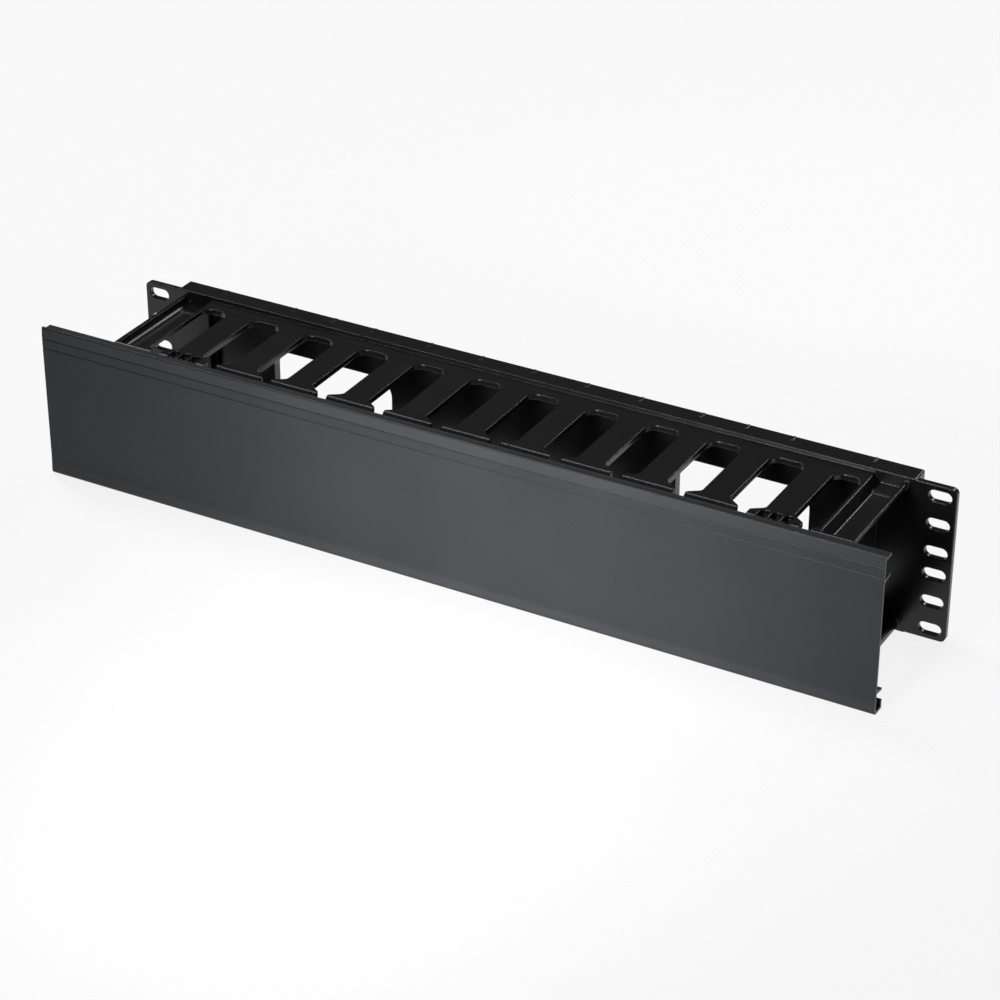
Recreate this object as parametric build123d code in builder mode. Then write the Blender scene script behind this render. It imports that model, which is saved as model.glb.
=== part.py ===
from build123d import *
import os

os.makedirs("parts", exist_ok=True)

# Frame: X across the rack, Y from the front (negative) to the back, Z up.
# Y = 0 is the face of the ears that sits on the rack rails, Z = 0 the foot of the two rack units.

# Rack standard
rack_unit = 44.45
unit_count = 2
first_row = 6.35
row_pitch = 15.875
row_count = 3
panel_width = 482.6
panel_clearance = 0.8
mount_inset = 8.75
mount_slot_length = 12.5
mount_slot_width = 6.4

# Ears
ear_width = 21.8
ear_thickness = 3.0
ear_corner = 3.0
ear_reach = 19.5

# Pan between the ears, with its two pass-through holes
wall = 2.2
pan_corner = 1.0
pan_back = 8.1
back_wall_front = 2.5
back_wall = 2.5
hole_width = 75.7
hole_height = 37.7
hole_radius = 11.0
hole_spread = 123.6
collar = 1.8

# Comb
comb_drop = 2.6
finger_count = 11
stem_width = 15.3
end_slot = 15.45
gap_width = 6.2
slot_back = -11.2
slot_back_radius = 5.7
shoulder_start = -60.2
shoulder_end = -64.7
shoulder_radius = 3.0
head_radius = 1.0
slot_lip = 1.5
slot_lip_depth = 0.9
ramp_length = 6.0
ramp_rise = 0.6

# Heads
nose_edge = -65.8
nose_front = -69.8
nose_slope = 3.1
nose_depth = 5.5
nose_radius = 2.0
square_front = -70.1
square_round = 1.6
notch_count = 3
notch_pitch = 6.4
notch_radius = 2.6
notch_depth = 2.0
notch_centre = -64.6
notch_backing = 1.0
overlap = 1.0
cut_clearance = 5.0

# End arms
arm_inset = 4.0
arm_width = 19.9
arm_depth = 4.8
arm_skin = 1.9
arm_rim = 1.9
arm_slope = 3.7
arm_cove = 3.8
arm_fillet = 1.0
arm_tip_reach = 3.25
arm_shoulder_start = -65.2
arm_shoulder_end = -66.4
arm_pad_end = -14.2
arm_pad_height = 0.5

# Cover
cover_overhang = 4.4
cover_shift = -9.4
cover_front = -81.1
cover_wall = 1.6
cover_low = 0.2
cover_above = 1.3
cover_edge_radius = 0.9
cover_foot_radius = 2.6
cover_bulge = 0.4
bulge_low = 3.4
bulge_high = 11.3
lean = 0.4
lean_drop = 6.0
groove_drops = (12.2, 6.6)
groove_depth = 0.3
groove_half = 0.6
rib_tip = -73.3
rib_wall = 1.4
rib_rake = 1.3
wedge_root = 2.2
wedge_tip = 1.2
wedge_rake = 0.9
hook_round = 0.6

# Hinge
bead_radius = 2.6
bearing_gap = 0.2
swing_gap = 0.45
hook_rise = 0.8
neck_rise = 4.55
neck_height = 1.6
stem_back = 1.0
lug_width = 20.0

# Ribs behind the back wall
back_rib = 1.4
back_rib_proud = 0.15
back_rib_pitch = 31.55
back_rib_beside = 25.4
back_rib_inset = 6.3

# Places that follow from the values above
rack_height = rack_unit * unit_count
panel_height = rack_height - panel_clearance
pan_width = panel_width - 2 * ear_width
ear_inner = pan_width / 2 - ear_reach
mount_columns = panel_width / 2 - mount_inset
mount_rows = [unit * rack_unit + first_row + i * row_pitch for unit in range(unit_count) for i in range(row_count)]
middle = rack_height / 2
comb_top = rack_height - comb_drop
comb_under = comb_top - wall
arm_outer = pan_width / 2 - arm_inset
arm_inner = arm_outer - arm_width
arm_tip = arm_inner - arm_tip_reach
arm_floor = comb_top - arm_depth
arm_under = arm_floor - arm_skin
arm_bend = arm_cove + arm_skin
end_finger = arm_inner - end_slot - stem_width / 2
finger_pitch = 2 * end_finger / (finger_count - 1)
gap_centres = [(i - finger_count / 2) * finger_pitch for i in range(1, finger_count)]
half_slot = (finger_pitch - stem_width) / 2
half_gap = gap_width / 2
head_width = finger_pitch - gap_width
inner_gap = gap_centres[-1]
head_edge = end_finger + head_width / 2
front_clear = square_front - cut_clearance
cover_length = panel_width + 2 * cover_overhang
cover_back = cover_front + cover_wall
cover_high = rack_height + cover_above
hinge_y = cover_back + bearing_gap + bead_radius
hinge_z = cover_low + cover_wall + bearing_gap + bead_radius
hook_inside = hinge_y + bead_radius + bearing_gap
upper_hinge_z = rack_height - hinge_z
upper_rib_z = upper_hinge_z + bead_radius + bearing_gap
neck_top = upper_hinge_z - neck_rise
neck_under = neck_top - neck_height
lower_rib_z = hinge_z + neck_rise + neck_height + swing_gap
cut_low = neck_under - overlap
back_rib_places = (
    back_rib_pitch,
    2 * back_rib_pitch,
    hole_spread - back_rib_beside,
    hole_spread,
    hole_spread + back_rib_beside,
    ear_inner - back_rib_inset,
)

with BuildPart() as base:
    # Upper comb plate
    with BuildSketch(Plane.XY.offset(comb_under)):
        with Locations((0, (nose_edge - ear_thickness + wall) / 2)):
            Rectangle(2 * arm_inner + arm_rim, wall - ear_thickness - nose_edge)
    extrude(amount=wall)

    # Lip under the rim of every finger slot
    lip_back = slot_back + slot_lip
    lip_front = shoulder_start + shoulder_radius
    lip_spans = [(centre - half_slot - slot_lip, centre + half_slot + slot_lip) for centre in gap_centres]
    lip_spans.append((end_finger + stem_width / 2 - slot_lip, arm_inner - overlap))
    lip_spans.append((overlap - arm_inner, slot_lip - stem_width / 2 - end_finger))
    with BuildSketch(Plane.XY.offset(comb_under - slot_lip_depth)):
        for low, high in lip_spans:
            with Locations(((low + high) / 2, (lip_back + lip_front) / 2)):
                Rectangle(high - low, lip_back - lip_front)
    extrude(amount=slot_lip_depth)

    # Step wall up to the rim of the pan
    with BuildSketch(Plane.XZ.offset(ear_thickness - wall)):
        with Locations((0, (comb_under + rack_height) / 2)):
            Rectangle(2 * arm_outer, rack_height - comb_under)
    extrude(amount=wall)

    # Ramp from the comb up to the step wall
    with BuildSketch(Plane.YZ):
        with BuildLine():
            Polyline(
                (-ear_thickness + wall / 2, comb_top - wall / 2),
                (-ear_thickness + wall / 2, comb_top + ramp_rise),
                (-ear_thickness, comb_top + ramp_rise),
                (-ear_thickness - ramp_length, comb_top),
                (-ear_thickness - ramp_length, comb_top - wall / 2),
                close=True,
            )
        make_face()
    extrude(amount=arm_inner + arm_rim, both=True)

    # Sloping noses of the middle fingers
    with BuildSketch(Plane.YZ):
        with BuildLine():
            Polyline(
                (nose_edge + overlap, comb_under),
                (nose_edge + overlap, comb_top),
                (nose_edge, comb_top),
                (nose_front, comb_top - nose_slope),
                (nose_front, comb_top - nose_depth),
                (nose_front + wall, comb_top - nose_depth),
                (nose_front + wall, comb_top - nose_slope - wall / 2),
                (nose_edge + wall / 2, comb_under),
                close=True,
            )
        make_face()
        corner = vertices().filter_by_position(Axis.X, nose_front - 0.1, nose_front + 0.1)
        fillet(corner.sort_by(Axis.Y)[-1], nose_radius)
    extrude(amount=inner_gap, both=True)

    for side in (-1, 1):
        # Square fronts of the gripped finger and of the arm's tip
        for low, high, foot in (
            (inner_gap, head_edge + half_gap, neck_under),
            (head_edge + half_gap, arm_inner + arm_rim / 2, arm_under),
        ):
            with BuildSketch(Plane.YZ.offset(side * (low + high) / 2)):
                with BuildLine():
                    Polyline(
                        (nose_edge + overlap, comb_under),
                        (nose_edge + overlap, comb_top),
                        (square_front, comb_top),
                        (square_front, foot),
                        (square_front + wall, foot),
                        (square_front + wall, comb_under),
                        close=True,
                    )
                make_face()
                corner = vertices().filter_by_position(Axis.X, square_front - 0.1, square_front + 0.1)
                fillet(corner.sort_by(Axis.Y)[-1], square_round)
            extrude(amount=(high - low) / 2, both=True)

        # Backing under the grip notches
        with BuildSketch(Plane.XY.offset(comb_under - notch_backing)):
            with Locations((side * end_finger, (square_front + notch_centre + notch_radius + overlap) / 2)):
                Rectangle(notch_count * notch_pitch - overlap, notch_centre + notch_radius + overlap - square_front)
        extrude(amount=notch_backing)

        # End arm: a thin channel with a sloping inner wall and a coved outer one
        with BuildSketch(Plane.XZ.offset(ear_thickness - wall)):
            with BuildLine():
                Polyline(
                    (side * arm_inner, comb_under),
                    (side * arm_inner, comb_top),
                    (side * (arm_inner + arm_rim), comb_top),
                    (side * (arm_inner + arm_rim + arm_slope), arm_floor),
                    (side * (arm_outer - wall), arm_floor),
                    (side * (arm_outer - wall), comb_top),
                    (side * arm_outer, comb_top),
                    (side * arm_outer, arm_under),
                    (side * (arm_inner + arm_rim + arm_slope), arm_under),
                    close=True,
                )
            make_face()
            floor_corners = vertices().filter_by_position(Axis.Y, arm_floor - 0.1, arm_floor + 0.1)
            fillet(floor_corners.sort_by(lambda corner: abs(corner.X))[0], arm_fillet)
            floor_corners = vertices().filter_by_position(Axis.Y, arm_floor - 0.1, arm_floor + 0.1)
            fillet(floor_corners.sort_by(lambda corner: abs(corner.X))[-1], arm_cove)
            under_corners = vertices().filter_by_position(Axis.Y, arm_under - 0.1, arm_under + 0.1)
            fillet(under_corners.sort_by(lambda corner: abs(corner.X))[-1], arm_bend)
        extrude(amount=wall - ear_thickness - square_front - (wall + square_round) / 2)

        # Front wall of the arm
        with BuildSketch(Plane.YZ.offset(side * (arm_inner + arm_rim / 2 + arm_outer) / 2)):
            with Locations((square_front + wall / 2, (arm_under + comb_top) / 2)):
                Rectangle(wall, comb_top - arm_under)
            corner = vertices().filter_by_position(Axis.X, square_front - 0.1, square_front + 0.1)
            fillet(corner.sort_by(Axis.Y)[-1], square_round)
        extrude(amount=(arm_width - arm_rim / 2) / 2, both=True)

        # Wall that closes the arm at the pan, and the raised pad before it
        with BuildSketch(Plane.XZ.offset(ear_thickness - wall)):
            with Locations((side * (arm_inner + arm_outer) / 2, (arm_under + rack_height) / 2)):
                Rectangle(arm_width, rack_height - arm_under)
        extrude(amount=wall)
        with BuildSketch(Plane.XY.offset(arm_floor - arm_pad_height)):
            with Locations((side * (arm_inner + arm_rim + arm_outer) / 2, (arm_pad_end - ear_thickness) / 2)):
                Rectangle(arm_width - arm_rim - 2 * wall, -arm_pad_end - ear_thickness)
        extrude(amount=2 * arm_pad_height)

    # Finger slots, open at the front between the heads
    with BuildSketch(Plane.XY.offset(cut_low)):
        for centre in gap_centres:
            with BuildLine():
                Polyline(
                    (centre - half_slot, slot_back),
                    (centre + half_slot, slot_back),
                    (centre + half_slot, shoulder_start),
                    (centre + half_gap, shoulder_end),
                    (centre + half_gap, front_clear),
                    (centre - half_gap, front_clear),
                    (centre - half_gap, shoulder_end),
                    (centre - half_slot, shoulder_start),
                    close=True,
                )
            make_face()
        for side in (-1, 1):
            with BuildLine():
                Polyline(
                    (side * (end_finger + stem_width / 2), slot_back),
                    (side * arm_inner, slot_back),
                    (side * arm_inner, arm_shoulder_start),
                    (side * arm_tip, arm_shoulder_end),
                    (side * arm_tip, front_clear),
                    (side * head_edge, front_clear),
                    (side * head_edge, shoulder_end),
                    (side * (end_finger + stem_width / 2), shoulder_start),
                    close=True,
                )
            make_face()
        for places, radius in (
            ([shoulder_end, arm_shoulder_start, arm_shoulder_end], head_radius),
            ([shoulder_start], shoulder_radius),
            ([slot_back], slot_back_radius),
        ):
            fillet([corner for corner in vertices() if min(abs(corner.Y - y) for y in places) < 0.1], radius)
    extrude(amount=rack_height - cut_low, mode=Mode.SUBTRACT)

    for side in (-1, 1):
        # Round grip notches, open at the front edge of the head
        with BuildSketch(Plane.XY.offset(comb_top)):
            for i in range(notch_count):
                place = side * end_finger + (i - (notch_count - 1) / 2) * notch_pitch
                with Locations((place, notch_centre)):
                    Circle(notch_radius)
                with Locations((place, (notch_centre + front_clear) / 2)):
                    Rectangle(2 * notch_radius, notch_centre - front_clear)
        extrude(amount=-notch_depth, mode=Mode.SUBTRACT)

        # Hinge lug with its bead
        with BuildSketch(Plane.YZ.offset(side * end_finger)):
            with BuildLine():
                Polyline(
                    (hinge_y - bead_radius, upper_hinge_z),
                    (hinge_y - bead_radius, neck_under),
                    (square_front + wall / 2, neck_under),
                    (square_front + wall / 2, neck_top),
                    (hinge_y - stem_back, neck_top),
                    (hinge_y - stem_back, upper_hinge_z),
                    close=True,
                )
            make_face()
            with Locations((hinge_y, upper_hinge_z)):
                Circle(bead_radius)
        extrude(amount=lug_width / 2, both=True)

    # The lower comb, arms and lugs mirror the upper ones
    mirror(about=Plane.XY.offset(middle))

    # Rim of the pan
    with BuildSketch(Plane.XZ.offset(ear_thickness)):
        with Locations((0, middle)):
            RectangleRounded(pan_width, rack_height, pan_corner)
            Rectangle(pan_width - 2 * wall, rack_height - 2 * wall, mode=Mode.SUBTRACT)
    extrude(amount=-ear_thickness - pan_back)

    # Back wall, and the side walls that carry it behind the ears
    with BuildSketch(Plane.XZ.offset(-back_wall_front)):
        with Locations((0, middle)):
            Rectangle(2 * ear_inner + wall, rack_height - wall)
    extrude(amount=-back_wall)
    with BuildSketch(Plane.XZ.offset(ear_thickness)):
        with Locations((ear_inner + wall / 2, middle), (-ear_inner - wall / 2, middle)):
            Rectangle(wall, rack_height - wall)
    extrude(amount=-ear_thickness - back_wall_front - back_wall)

    # Ears
    with BuildSketch(Plane.XZ):
        with Locations((0, middle)):
            RectangleRounded(panel_width, panel_height, ear_corner)
            Rectangle(2 * ear_inner, panel_height, mode=Mode.SUBTRACT)
        with Locations(*[(side * mount_columns, row) for side in (-1, 1) for row in mount_rows]):
            SlotOverall(mount_slot_length, mount_slot_width, mode=Mode.SUBTRACT)
    extrude(amount=ear_thickness)

    # Ribs behind the back wall, a little proud of the rim
    with BuildSketch(Plane.XZ.offset(-back_wall_front - back_wall / 2)):
        for place in (0, *back_rib_places):
            with Locations((place, middle), (-place, middle)):
                Rectangle(back_rib, rack_height + 2 * back_rib_proud)
    extrude(amount=back_wall_front + back_wall / 2 - pan_back - back_rib_proud)

    # Collars behind the pass-through holes, then the holes
    for side in (-1, 1):
        with BuildSketch(Plane.XZ.offset(-back_wall_front - back_wall / 2)):
            with Locations((side * hole_spread, middle)):
                RectangleRounded(
                    hole_width + 2 * collar, hole_height + 2 * collar, hole_radius + collar
                )
        extrude(amount=back_wall_front + back_wall / 2 - pan_back)
        with BuildSketch(Plane.XZ.offset(-back_wall_front)):
            with Locations((side * hole_spread, middle)):
                RectangleRounded(hole_width, hole_height, hole_radius)
        extrude(amount=-pan_back, mode=Mode.SUBTRACT)

base.part.label = "base_moulding"
export_step(base.part, "parts/base_moulding.step")

with BuildPart() as cover:
    # One extrusion: face plate, an upper channel and a lower hooked channel
    with BuildSketch(Plane.YZ.offset(cover_shift)):
        with BuildLine():
            Polyline(
                (cover_front - cover_bulge, cover_low),
                (cover_front - cover_bulge, bulge_low),
                (cover_front, bulge_high),
                (cover_front, cover_high - lean_drop),
                (cover_front + lean, cover_high),
                (cover_back, cover_high),
                (cover_back, upper_rib_z + rib_wall),
                (rib_tip, upper_rib_z + rib_wall),
                (rib_tip, upper_rib_z),
                (cover_back, upper_rib_z),
                (cover_back, neck_under - swing_gap - rib_rake),
                (rib_tip, neck_under - swing_gap),
                (rib_tip, neck_under - swing_gap - rib_wall),
                (cover_back, neck_under - swing_gap - rib_rake - cover_wall),
                (cover_back, lower_rib_z + wedge_rake + wedge_root),
                (rib_tip, lower_rib_z + wedge_tip),
                (rib_tip, lower_rib_z),
                (cover_back, lower_rib_z + wedge_rake),
                (cover_back, cover_low + cover_wall),
                (hook_inside, cover_low + cover_wall),
                (hook_inside, hinge_z + hook_rise),
                (hook_inside + rib_wall, hinge_z + hook_rise),
                (hook_inside + rib_wall, cover_low),
                close=True,
            )
        make_face()
        crown = vertices().filter_by_position(Axis.Y, cover_high - 0.1, cover_high + 0.1)
        fillet(crown.sort_by(Axis.X)[0], cover_edge_radius)
        foot = vertices().filter_by_position(Axis.Y, cover_low - 0.1, cover_low + 0.1)
        fillet(foot.sort_by(Axis.X)[0], cover_foot_radius)
        fillet(foot.sort_by(Axis.X)[-1], hook_round)
        for drop in groove_drops:
            place = cover_high - drop
            with BuildLine():
                Polyline(
                    (cover_front - groove_half, place - 2 * groove_half),
                    (cover_front + groove_depth, place),
                    (cover_front - groove_half, place + 2 * groove_half),
                    close=True,
                )
            make_face(mode=Mode.SUBTRACT)
    extrude(amount=cover_length / 2, both=True)

cover.part.label = "front_cover"
export_step(cover.part, "parts/front_cover.step")
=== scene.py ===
from math import radians

import bpy
from mathutils import Matrix, Vector


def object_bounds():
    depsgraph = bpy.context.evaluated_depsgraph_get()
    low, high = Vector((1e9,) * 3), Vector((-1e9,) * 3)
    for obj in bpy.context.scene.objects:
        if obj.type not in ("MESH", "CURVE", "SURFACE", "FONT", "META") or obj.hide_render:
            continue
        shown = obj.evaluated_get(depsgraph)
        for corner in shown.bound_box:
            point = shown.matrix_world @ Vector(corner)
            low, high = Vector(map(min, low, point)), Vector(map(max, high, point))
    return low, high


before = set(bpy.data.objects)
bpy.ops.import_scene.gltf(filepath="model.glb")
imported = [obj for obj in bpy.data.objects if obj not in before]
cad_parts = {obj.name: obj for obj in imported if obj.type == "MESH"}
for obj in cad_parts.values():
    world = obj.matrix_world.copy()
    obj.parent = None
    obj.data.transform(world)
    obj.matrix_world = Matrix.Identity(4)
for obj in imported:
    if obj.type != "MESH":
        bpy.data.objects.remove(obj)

cad_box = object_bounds()
bpy.ops.object.select_all(action="DESELECT")
scene = bpy.context.scene
scene.view_settings.view_transform = "Standard"


# Camera, at the photograph's angle

camera_place = (0.679, -1.2395, 0.824)
camera_forward = (-0.42556, 0.75706, -0.49577)
camera_right = (0.87172, 0.48999, 0.0)
camera_lens = 109.5
camera_sensor = 36.0
camera_shift = (0.001, -0.005)
camera_reach = 20


def add_camera():
    forward = Vector(camera_forward).normalized()
    right = Vector(camera_right).normalized()
    up = right.cross(forward).normalized()
    turn = Matrix((right, up, -forward)).transposed().to_4x4()
    bpy.ops.object.camera_add(location=(0, 0, 0))
    camera = bpy.context.object
    camera.name = "photograph_camera"
    camera.matrix_world = Matrix.Translation(camera_place) @ turn
    camera.data.lens = camera_lens
    camera.data.sensor_width = camera_sensor
    camera.data.shift_x = camera_shift[0]
    camera.data.shift_y = camera_shift[1]
    camera.data.clip_end = camera_reach
    scene.camera = camera


# Parts that the materials share

noise_low = 0.3
noise_high = 0.7
edge_samples = 6


def new_material(name):
    """A material with its nodes, links and shader, and the place on the object."""
    material = bpy.data.materials.new(name)
    material.use_nodes = True
    nodes = material.node_tree.nodes
    shader = nodes["Principled BSDF"]
    place = nodes.new("ShaderNodeTexCoord")
    return material, nodes, material.node_tree.links, shader, place.outputs["Object"]


def noise(nodes, links, source, size, detail=4.0, stretch=(1, 1, 1)):
    """Noise about size metres across. A stretch below 1 draws it out along that axis."""
    mapping = nodes.new("ShaderNodeMapping")
    mapping.inputs["Scale"].default_value = stretch
    links.new(source, mapping.inputs["Vector"])
    texture = nodes.new("ShaderNodeTexNoise")
    texture.inputs["Scale"].default_value = 1.0 / size
    texture.inputs["Detail"].default_value = detail
    links.new(mapping.outputs["Vector"], texture.inputs["Vector"])
    return texture.outputs["Fac"]


def ramp(nodes, links, source, low, high):
    """A colour that goes from low to high over most of the noise's range."""
    node = nodes.new("ShaderNodeValToRGB")
    node.color_ramp.elements[0].position = noise_low
    node.color_ramp.elements[1].position = noise_high
    node.color_ramp.elements[0].color = (*low, 1)
    node.color_ramp.elements[1].color = (*high, 1)
    links.new(source, node.inputs["Fac"])
    return node.outputs["Color"]


def spread(nodes, links, source, low, high):
    """A number that goes from low to high with the noise."""
    node = nodes.new("ShaderNodeMapRange")
    node.inputs["To Min"].default_value = low
    node.inputs["To Max"].default_value = high
    links.new(source, node.inputs["Value"])
    return node.outputs["Result"]


def soft_edges(nodes, links, shader, height, strength, depth, radius):
    """Rounded edges and a fine surface texture in the normal."""
    edge = nodes.new("ShaderNodeBevel")
    edge.samples = edge_samples
    edge.inputs["Radius"].default_value = radius
    bump = nodes.new("ShaderNodeBump")
    bump.inputs["Strength"].default_value = strength
    bump.inputs["Distance"].default_value = depth
    links.new(height, bump.inputs["Height"])
    links.new(edge.outputs["Normal"], bump.inputs["Normal"])
    links.new(bump.outputs["Normal"], shader.inputs["Normal"])


def dress(node, material):
    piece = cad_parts[node]
    piece.data.materials.clear()
    piece.data.materials.append(material)


# Black plastic of the moulding: a near black with a fine grain and a low sheen

black_low = (0.0052, 0.0051, 0.0054)
black_high = (0.0066, 0.0065, 0.0068)
black_specular = 0.4


def moulded_black():
    material, nodes, links, shader, place = new_material("moulded_black_plastic")
    cloud = noise(nodes, links, place, size=0.03)
    grain = noise(nodes, links, place, size=0.0007, detail=3.0)
    links.new(ramp(nodes, links, cloud, black_low, black_high), shader.inputs["Base Color"])
    links.new(spread(nodes, links, cloud, low=0.22, high=0.28), shader.inputs["Roughness"])
    shader.inputs["Specular IOR Level"].default_value = black_specular
    soft_edges(nodes, links, shader, grain, strength=0.12, depth=0.00012, radius=0.0010)
    return material


# Grey plastic of the cover: fine lines along its length, and bands of painted shade and painted sheen
# up its face

grey_low = (0.0332, 0.0348, 0.0377)
grey_high = (0.0382, 0.0402, 0.0435)
grey_specular = 0.2
line_stretch = (0.02, 1, 1)

cover_top = cad_box[1][2]
foot_edge_high = 0.0018
foot_low = 0.0030
foot_high = 0.0060
face_low = 0.0085
groove_drops = (0.0122, 0.0066)
groove_half = 0.0003
groove_fade = 0.0005
band_drop = 0.0009
crown_drop = 0.0003

# Painted shade along the cover's bottom edge.
foot_edge_painted_shade = 0.60
# Painted sheen on the band just above the foot.
foot_painted_sheen = 1.0
face_tone = 0.76
# Painted shade in the two grooves.
groove_painted_shade = 0.58
# Painted sheen on the upper band below the top face.
upper_band_painted_sheen = 0.98
# Painted shade on the cover's top face.
crown_painted_shade = 0.55


def cover_painted_light_shares():
    """Shares of the grey at heights up the cover, from its foot to its top face: painted shade at the
    foot edge, in the two grooves and on the top face, and painted sheen on the foot band and the upper
    band.
    """
    steps = [
        (foot_edge_high, foot_edge_painted_shade),
        (foot_low, foot_painted_sheen),
        (foot_high, foot_painted_sheen),
        (face_low, face_tone),
    ]
    tones_above = (face_tone, upper_band_painted_sheen)
    for drop, tone_above in zip(groove_drops, tones_above):
        middle = cover_top - drop
        steps.append((middle - groove_fade, face_tone))
        steps.append((middle - groove_half, groove_painted_shade))
        steps.append((middle + groove_half, groove_painted_shade))
        steps.append((middle + groove_fade, tone_above))
    steps.append((cover_top - band_drop, upper_band_painted_sheen))
    steps.append((cover_top - crown_drop, crown_painted_shade))
    return steps


def painted_light_bands(nodes, links, place, colour, tones):
    """The colour times a share that changes with the height, which paints light and shade into the
    colour.
    """
    parts = nodes.new("ShaderNodeSeparateXYZ")
    links.new(place, parts.inputs["Vector"])
    height = nodes.new("ShaderNodeMapRange")
    height.inputs["From Max"].default_value = cover_top
    links.new(parts.outputs["Z"], height.inputs["Value"])
    shares = nodes.new("ShaderNodeValToRGB")
    steps = shares.color_ramp.elements
    while len(steps) < len(tones):
        steps.new(0.5)
    for step, (level, share) in zip(steps, tones):
        step.position = level / cover_top
        step.color = (share, share, share, 1)
    links.new(height.outputs["Result"], shares.inputs["Fac"])
    product = nodes.new("ShaderNodeVectorMath")
    product.operation = "MULTIPLY"
    links.new(colour, product.inputs[0])
    links.new(shares.outputs["Color"], product.inputs[1])
    return product.outputs["Vector"]


def extruded_grey():
    material, nodes, links, shader, place = new_material("extruded_grey_plastic")
    cloud = noise(nodes, links, place, size=0.05)
    lines = noise(nodes, links, place, size=0.0025, detail=3.0, stretch=line_stretch)
    grey = ramp(nodes, links, cloud, grey_low, grey_high)
    # The cover's base colour carries painted shade and painted sheen in bands up its height.
    links.new(painted_light_bands(nodes, links, place, grey, cover_painted_light_shares()), shader.inputs["Base Color"])
    links.new(spread(nodes, links, lines, low=0.31, high=0.37), shader.inputs["Roughness"])
    shader.inputs["Specular IOR Level"].default_value = grey_specular
    soft_edges(nodes, links, shader, lines, strength=0.05, depth=0.0001, radius=0.0005)
    return material


# White floor, which the camera and the reflections see at nearly full white

floor_size = 12
floor_low = (0.90, 0.90, 0.90)
floor_high = (0.92, 0.92, 0.92)
floor_roughness = 0.9
floor_glow = 1.0
glow_share = 0.85


def combine(nodes, links, operation, first, second):
    node = nodes.new("ShaderNodeMath")
    node.operation = operation
    links.new(first, node.inputs[0])
    links.new(second, node.inputs[1])
    return node.outputs["Value"]


def white_paper():
    """White that glows for camera, glossy and transmission rays, and still takes a shadow."""
    material, nodes, links, shader, place = new_material("white_paper")
    cloud = noise(nodes, links, place, size=0.4, detail=2.0)
    links.new(ramp(nodes, links, cloud, floor_low, floor_high), shader.inputs["Base Color"])
    shader.inputs["Roughness"].default_value = floor_roughness
    glow = nodes.new("ShaderNodeEmission")
    glow.inputs["Strength"].default_value = floor_glow
    rays = nodes.new("ShaderNodeLightPath").outputs
    seen = combine(nodes, links, "MAXIMUM", rays["Is Camera Ray"], rays["Is Glossy Ray"])
    seen = combine(nodes, links, "MAXIMUM", seen, rays["Is Transmission Ray"])
    share = nodes.new("ShaderNodeMath")
    share.operation = "MULTIPLY"
    share.inputs[1].default_value = glow_share
    links.new(seen, share.inputs[0])
    mix = nodes.new("ShaderNodeMixShader")
    links.new(share.outputs["Value"], mix.inputs["Fac"])
    links.new(shader.outputs["BSDF"], mix.inputs[1])
    links.new(glow.outputs["Emission"], mix.inputs[2])
    links.new(mix.outputs["Shader"], nodes["Material Output"].inputs["Surface"])
    return material


def add_floor():
    bpy.ops.mesh.primitive_plane_add(size=floor_size, location=(0, 0, 0))
    floor = bpy.context.object
    floor.name = "floor"
    bpy.ops.object.transform_apply(location=True, rotation=True, scale=True)
    floor.data.materials.append(white_paper())


# Lamps, with places and sizes in metres, powers in watts and spreads in degrees

world_level = 0.08
object_middle = (0, 0, 0.05)
cover_middle = (0.04, -0.08, 0.04)


def add_background():
    world = bpy.data.worlds.new("studio")
    scene.world = world
    world.use_nodes = True
    plain = world.node_tree.nodes["Background"]
    plain.inputs["Color"].default_value = (1, 1, 1, 1)
    plain.inputs["Strength"].default_value = world_level


def add_lamp(name, place, target, size, power, spread_degrees=180):
    bpy.ops.object.light_add(type="AREA", location=place)
    lamp = bpy.context.object
    lamp.name = name
    lamp.data.shape = "RECTANGLE"
    lamp.data.size = size[0]
    lamp.data.size_y = size[1]
    lamp.data.energy = power
    lamp.data.spread = radians(spread_degrees)
    lamp.rotation_euler = (Vector(target) - Vector(place)).to_track_quat("-Z", "Y").to_euler()


def add_lamps():
    add_lamp("top_softbox", place=(-0.65, 0.20, 1.35), target=object_middle, size=(0.3, 1.1), power=12)
    add_lamp("back_softbox", place=(0.35, 1.17, 1.00), target=object_middle, size=(0.4, 0.3), power=4)
    add_lamp("front_softbox", place=(0.04, -0.72, 0.27), target=cover_middle, size=(0.28, 0.24),
             power=0.74, spread_degrees=42)


add_camera()
dress("base_moulding", moulded_black())
dress("front_cover", extruded_grey())
add_floor()
add_background()
add_lamps()

bpy.ops.object.select_all(action="DESELECT")
